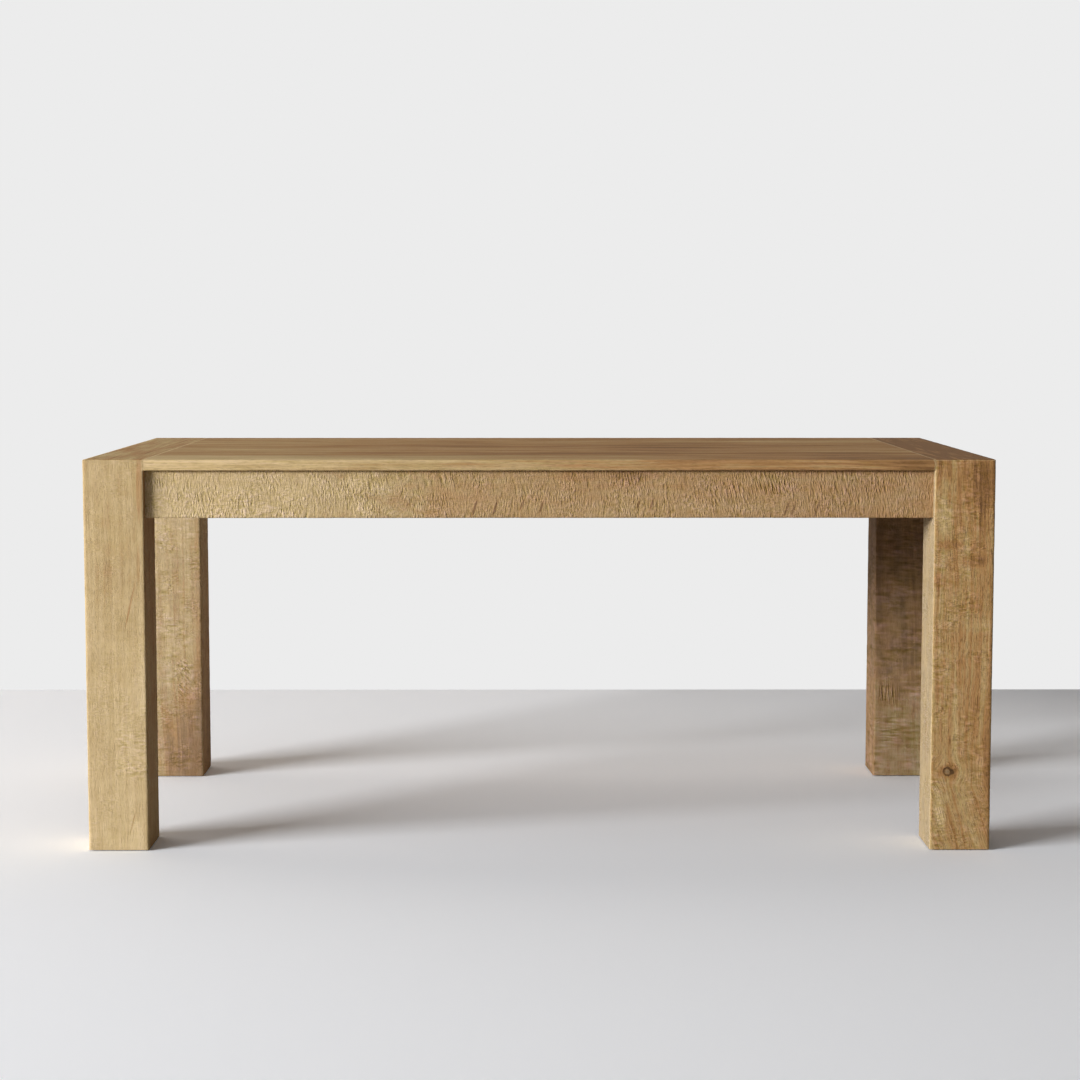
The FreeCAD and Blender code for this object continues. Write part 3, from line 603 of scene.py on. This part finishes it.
# Where single teeth of the saw went deeper: across and along the front apron and length, m, and degrees.
GOUGES = ((-0.026, -0.128, 0.036, 18), (-0.028, -0.088, 0.034, 19), (-0.022, -0.035, 0.028, 22),
          (-0.025, 0.004, 0.030, 17), (-0.020, 0.196, 0.020, 17), (-0.020, 0.222, 0.026, 17),
          (-0.028, 0.490, 0.034, 19), (-0.030, 0.503, 0.030, 17), (-0.028, 0.550, 0.038, 19))
APRONS = {
    # its slope and the pale patch at its left end darken it towards the right: partly the wood's own tone,
    # partly painted fall-off of the light from the left
    "front": Lumber(X, Y, 2.2, tone=0.55, slope=(0, 0.12), **SAWN,
                    saws=(*APRON_MARKS,
                          Saw(4.6, 36, 14, 2.8, along=(0.42, 0.50), across=(0.0, 0.045), floor=0.6),
                          Saw(4.5, 26, 6, 2.0, along=(0.13, 0.22), across=(0.012, 0.05), floor=0.3),
                          Saw(6, 26, 16, 1.6, along=(0.33, 0.43), across=(-0.04, 0.03), floor=0.3),
                          Saw(5, 24, 8, 1.5, along=(0.53, 0.74), floor=0.4),
                          Saw(30, 6, 0, 1.5, along=(-0.66, -0.46), across=(-0.045, -0.005), floor=0.3)),
                    stains=((0, -0.72, 0.4, 1.0, -0.32), (0.036, -0.41, 0.03, 0.09, 0.15),
                            (0.036, 0.08, 0.03, 0.09, 0.15), (0.036, 0.18, 0.03, 0.10, 0.2),
                            *((up, run, long, 0.005, 0.6, turn) for up, run, long, turn in GOUGES))),
    "rear": Lumber(X, Y, 12.2, tone=0.5, **SAWN,
                   saws=(*APRON_MARKS, Saw(12, 36, 30, 1.2, along=(-0.3, 0.1)))),
    "left": Lumber(Y, X, 14.2, tone=0.45, **SAWN, saws=APRON_MARKS),
    "right": Lumber(Y, X, 15.2, tone=0.55, **SAWN, saws=APRON_MARKS),
}
# the slope along the planks darkens them towards the right: partly the wood's own tone, partly painted
# fall-off of the light from the left
PLANED = dict(slope=(0, 0.08), patchy=0.32, cloud=7, fibre=1.2, rings=0.45, mottle=0.3, pores=0.2, patina=0.0,
              warm=0.5, streak=0.3)
DARKER_MIDDLE = ((0, 0.05, 0.6, 1.0, 0.15),)
END_FACES = dict(PLANED, slope=(0, 0), rings=0.2, patchy=0.4, wear=1.0)
PLANKS = {
    # the front plank's steeper slope along it darkens it towards the right: partly the wood's own tone,
    # partly painted fall-off of the light from the left
    "front_plank": Lumber(X, Z, 21, tone=0.51, ring=6, pith=(0.05, 0.03),
                          **dict(PLANED, slope=(0.6, 0.49), patchy=0.3, rings=0.3, warm=0.3)),
    "second_plank": Lumber(X, Z, 22.5, tone=0.68, ring=5, pith=(-0.06, 0.05), **PLANED, stains=DARKER_MIDDLE),
    "third_plank": Lumber(X, Z, 24.1, tone=0.54, ring=6, pith=(0.02, 0.04), **PLANED, stains=DARKER_MIDDLE),
    "fourth_plank": Lumber(X, Z, 25.7, tone=0.68, ring=5, pith=(0.08, 0.03), **PLANED, stains=DARKER_MIDDLE),
    "fifth_plank": Lumber(X, Z, 27.3, tone=0.54, ring=6, pith=(-0.03, 0.05), **PLANED, stains=DARKER_MIDDLE),
    "rear_plank": Lumber(X, Z, 28.9, tone=0.62, ring=5, pith=(0.05, 0.04), **PLANED),
}
END_BOARDS = {
    "left_end_board": Lumber(Y, Z, 31, tone=0.50, ring=5, pith=(0.04, 0.03), **dict(END_FACES, wear=1.6)),
    "right_end_board": Lumber(Y, Z, 33, tone=1.05, ring=5, pith=(-0.05, 0.03), **END_FACES),
}


def middle_of(node):
    """The middle of a CAD node's box."""
    low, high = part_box(node)
    return (low + high) / 2


def make_staves(part, face, seed):
    """One stave of each leg: front or rear face, outer end, inner end, or back."""
    sizes = settings("board_shape")
    for end in ENDS:
        node = f"{end}_{part}"
        front, left = end.startswith("front"), end.endswith("left")
        out_x, out_y = (-1 if left else 1), (-1 if front else 1)
        shown = {"face_stave": [(Y, out_y), (X, out_x), (X, -out_x), (Z, 1)],
                 "outer_stave": [(X, out_x), (Y, out_y), (Y, -out_y), (Z, 1)],
                 "inner_stave": [(X, -out_x), (Y, out_y), (Y, -out_y)],
                 "back_stave": [(Y, -out_y), (X, out_x), (X, -out_x)]}[part]
        piece = board(node, f"{node}_worn", (sizes.across, sizes.across, sizes.leg_step), shown, leg_relief)
        forward = "face_stave" if front else "back_stave"
        changes = INNER[end] if part == "inner_stave" else {}
        lumber = LEGS[end] if part == forward else LEGS[end].turned(face, seed, **changes)
        dress(piece, oak(f"planed_oak_{node}", lumber, middle_of(node)))


class TABLE_OT_face_staves(bpy.types.Operator):
    """Front and rear faces of the four legs"""
    bl_idname = "table.face_staves"
    bl_label = "Face staves"

    def execute(self, context):
        make_staves("face_stave", Y, 0)
        return {"FINISHED"}


class TABLE_OT_outer_staves(bpy.types.Operator):
    """Outer end faces of the four legs"""
    bl_idname = "table.outer_staves"
    bl_label = "Outer staves"

    def execute(self, context):
        make_staves("outer_stave", X, 0.37)
        return {"FINISHED"}


class TABLE_OT_inner_staves(bpy.types.Operator):
    """Faces of the legs towards the middle of the table"""
    bl_idname = "table.inner_staves"
    bl_label = "Inner staves"

    def execute(self, context):
        make_staves("inner_stave", X, 0.71)
        return {"FINISHED"}


class TABLE_OT_back_staves(bpy.types.Operator):
    """Faces of the legs under the end aprons"""
    bl_idname = "table.back_staves"
    bl_label = "Back staves"

    def execute(self, context):
        make_staves("back_stave", Y, 1.13)
        return {"FINISHED"}


class TABLE_OT_aprons(bpy.types.Operator):
    """The four aprons, left from the saw"""
    bl_idname = "table.aprons"
    bl_label = "Aprons"

    def execute(self, context):
        sizes = settings("board_shape")
        for side, lumber in APRONS.items():
            node = f"{side}_apron"
            out = {"front": (Y, -1), "rear": (Y, 1), "left": (X, -1), "right": (X, 1)}[side]
            steps = [sizes.across] * 3
            steps[lumber.grain] = sizes.apron_step
            piece = board(node, f"{node}_sawn", steps, [out, (out[0], -out[1]), (Z, -1)], apron_relief)
            dress(piece, oak(f"rough_sawn_oak_{node}", lumber, middle_of(node)))
        return {"FINISHED"}


class TABLE_OT_planks(bpy.types.Operator):
    """The six planks of the top"""
    bl_idname = "table.planks"
    bl_label = "Planks"

    def execute(self, context):
        step = settings("board_shape").top_step
        for node, lumber in PLANKS.items():
            shown = [(Z, 1), (Z, -1), (Y, 1), (Y, -1), (X, 1), (X, -1)]
            piece = board(node, f"{node}_worn", (step, step, step), shown, top_relief)
            dress(piece, oak(f"planed_oak_{node}", lumber, middle_of(node)))
        return {"FINISHED"}


class TABLE_OT_end_boards(bpy.types.Operator):
    """The two boards across the ends of the top"""
    bl_idname = "table.end_boards"
    bl_label = "End boards"

    def execute(self, context):
        step = settings("board_shape").top_step
        for node, lumber in END_BOARDS.items():
            shown = [(Z, 1), (Z, -1), (X, 1), (X, -1)]
            piece = board(node, f"{node}_worn", (step, step, step), shown, top_relief)
            dress(piece, oak(f"planed_oak_{node}", lumber, middle_of(node)))
        return {"FINISHED"}


class TABLE_OT_underframe(bpy.types.Operator):
    """Bearers, cleats, blocks, keys and splines, under and inside the boards"""
    bl_idname = "table.underframe"
    bl_label = "Underframe"

    def execute(self, context):
        wood, ply = underframe_oak(), birch_ply()
        for name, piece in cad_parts.items():
            if name.endswith(("bearer", "cleats", "cleat", "head_block", "foot_block")):
                dress(piece, wood)
            elif name.endswith(("spline", "splines", "keys")):
                dress(piece, ply)
        return {"FINISHED"}


class TABLE_OT_fittings(bpy.types.Operator):
    """Screws, nails and floor glides"""
    bl_idname = "table.fittings"
    bl_label = "Fittings"

    def execute(self, context):
        metal, plastic = zinc_steel(), nylon()
        for name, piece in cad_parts.items():
            if name.endswith(("screws", "nails")):
                dress(piece, metal)
            elif name.endswith("glide"):
                dress(piece, plastic)
        return {"FINISHED"}


# ---------------------------------------------------------------- stage

SHEET = 9                                   # half the side of the floor and of the wall, m
WALL_PLACE = (0, 1.62, 8.99)                # middle of the wall: its foot is just under the floor
TABLE_MIDDLE = (0, 0, 0.4)                  # where the lamps point
KEY_SIZE, KEY_PLACE = (7.6, 2.2), (-12.7, -7.35, 3.4)
FILL_SIZE, FILL_PLACE = (5, 5), (-1.6, -2.6, 6.4)
SKY_SEEN = 0.85                             # strength of the world where the camera sees it
SENSOR = 36                                 # width of the camera's picture, mm
CLIP = (0.05, 100)                          # nearest and farthest that the camera sees, m
CAMERA_PLACE = (-0.0137, -5.017, 1.0434)
CAMERA_TURN = (math.radians(90) - 0.0916, 0, -0.00325)


def stage_plane(name, size, place, turn=0.0):
    """A flat sheet of the stage, on the floor or stood up as a wall."""
    bm = bmesh.new()
    bmesh.ops.create_grid(bm, x_segments=1, y_segments=1, size=size)
    if turn:
        bmesh.ops.rotate(bm, cent=(0, 0, 0), matrix=Matrix.Rotation(turn, 3, "X"), verts=bm.verts)
    bmesh.ops.translate(bm, vec=place, verts=bm.verts)
    mesh = bpy.data.meshes.new(name)
    bm.to_mesh(mesh)
    bm.free()
    piece = bpy.data.objects.new(name, mesh)
    bpy.context.scene.collection.objects.link(piece)
    return piece


def seen_rays(tree):
    """1 for rays from the camera and their reflections, 0 for light that is thrown back."""
    rays = add(tree, "LightPath")
    return add(tree, "Math", (0, rays["Is Camera Ray"]), (1, rays["Is Glossy Ray"]), operation="MAXIMUM")[0]


def front_only(tree, shader):
    """Show the shader on a sheet's front and nothing on its back."""
    behind, clear = add(tree, "NewGeometry")["Backfacing"], add(tree, "BsdfTransparent")[0]
    both = add(tree, "MixShader", (0, behind), (1, shader), (2, clear))[0]
    add(tree, "OutputMaterial", ("Surface", both))


def painted_wall(paint, bounce):
    """Matt white paint, lit evenly: an even pale backdrop that is seen from its front only."""
    material, tree = empty_material("matt_white_wall")
    matt = add(tree, "BsdfDiffuse", ("Color", (*bounce, 1)))[0]
    glow = add(tree, "Emission", ("Color", (*paint, 1)), ("Strength", 1.0))[0]
    front_only(tree, add(tree, "MixShader", (0, seen_rays(tree)), (1, matt), (2, glow))[0])
    return material


def pale_floor(paint, bounce, lift):
    """Matt pale floor, brighter to the eye than paint in this light, and clear from below."""
    material, tree = empty_material("matt_pale_floor")
    lifted = (*(c * lift for c in paint), 1)
    shown = add(tree, "Mix", (0, seen_rays(tree)), (6, (*bounce, 1)), (7, lifted), data_type="RGBA")[2]
    front_only(tree, add(tree, "BsdfDiffuse", ("Color", shown))[0])
    return material


def lamp(name, power, size, place):
    """A soft lamp, so wide and so high, that points at the table's middle."""
    data = bpy.data.lights.new(name, "AREA")
    data.energy, data.shape, (data.size, data.size_y) = power, "RECTANGLE", size
    made = bpy.data.objects.new(name, data)
    made.location = place
    made.rotation_euler = (Vector(TABLE_MIDDLE) - Vector(place)).to_track_quat("-Z", "Y").to_euler()
    made.visible_camera = False
    bpy.context.scene.collection.objects.link(made)


class TABLE_OT_stage(bpy.types.Operator):
    """Floor, wall, lamps and camera"""
    bl_idname = "table.stage"
    bl_label = "Stage"

    def execute(self, context):
        look, scene = settings("studio_look"), context.scene
        floor = stage_plane("floor", SHEET, (0, 0, 0))
        wall = stage_plane("wall", SHEET, WALL_PLACE, math.radians(90))
        dress(floor, pale_floor(look.floor, look.bounce, look.lift))
        dress(wall, painted_wall(look.wall, look.bounce))

        world = bpy.data.worlds.new("studio")
        scene.world = world
        world.use_nodes = True
        tree = world.node_tree
        tree.nodes.clear()
        strength = add(tree, "MapRange", (0, seen_rays(tree)), (3, look.ambient), (4, SKY_SEEN))[0]
        sky = add(tree, "Background", ("Color", (1, 1, 1, 1)), ("Strength", strength))[0]
        add(tree, "OutputWorld", ("Surface", sky))

        lamp("key", look.key, KEY_SIZE, KEY_PLACE)
        lamp("fill", look.fill, FILL_SIZE, FILL_PLACE)

        data = bpy.data.cameras.new("camera")
        data.lens, data.sensor_width = look.lens, SENSOR
        data.clip_start, data.clip_end = CLIP
        camera = bpy.data.objects.new("camera", data)
        camera.location = CAMERA_PLACE
        camera.rotation_euler = CAMERA_TURN
        scene.collection.objects.link(camera)
        scene.camera = camera
        scene.view_settings.view_transform = "Standard"
        return {"FINISHED"}


class TABLE_PT_panel(bpy.types.Panel):
    """Lists the table's settings and its pieces"""
    bl_idname = "TABLE_PT_panel"
    bl_label = "Parsons table"
    bl_space_type = "VIEW_3D"
    bl_region_type = "UI"
    bl_category = "Table"

    def draw(self, context):
        for group in GROUPS:
            box = self.layout.box()
            for key in group[1].__annotations__:
                box.prop(settings(group[0]), key)
        for maker in MAKERS:
            self.layout.operator(maker.bl_idname)


GROUPS = (("oak_finish", OakFinish), ("board_shape", BoardShape), ("studio_look", StudioLook))
MAKERS = (TABLE_OT_face_staves, TABLE_OT_outer_staves, TABLE_OT_inner_staves, TABLE_OT_back_staves,
          TABLE_OT_aprons, TABLE_OT_planks, TABLE_OT_end_boards, TABLE_OT_underframe, TABLE_OT_fittings,
          TABLE_OT_stage)


def register():
    for name, group in GROUPS:
        bpy.utils.register_class(group)
        setattr(bpy.types.Scene, name, PointerProperty(type=group))
    for made in (*MAKERS, TABLE_PT_panel):
        bpy.utils.register_class(made)


def unregister():
    for made in reversed((*MAKERS, TABLE_PT_panel)):
        bpy.utils.unregister_class(made)
    for name, group in reversed(GROUPS):
        delattr(bpy.types.Scene, name)
        bpy.utils.unregister_class(group)


def main():
    """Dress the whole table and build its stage."""
    register()
    for maker in MAKERS:
        family, call = maker.bl_idname.split(".")
        getattr(getattr(bpy.ops, family), call)()


if __name__ == "__main__":
    main()
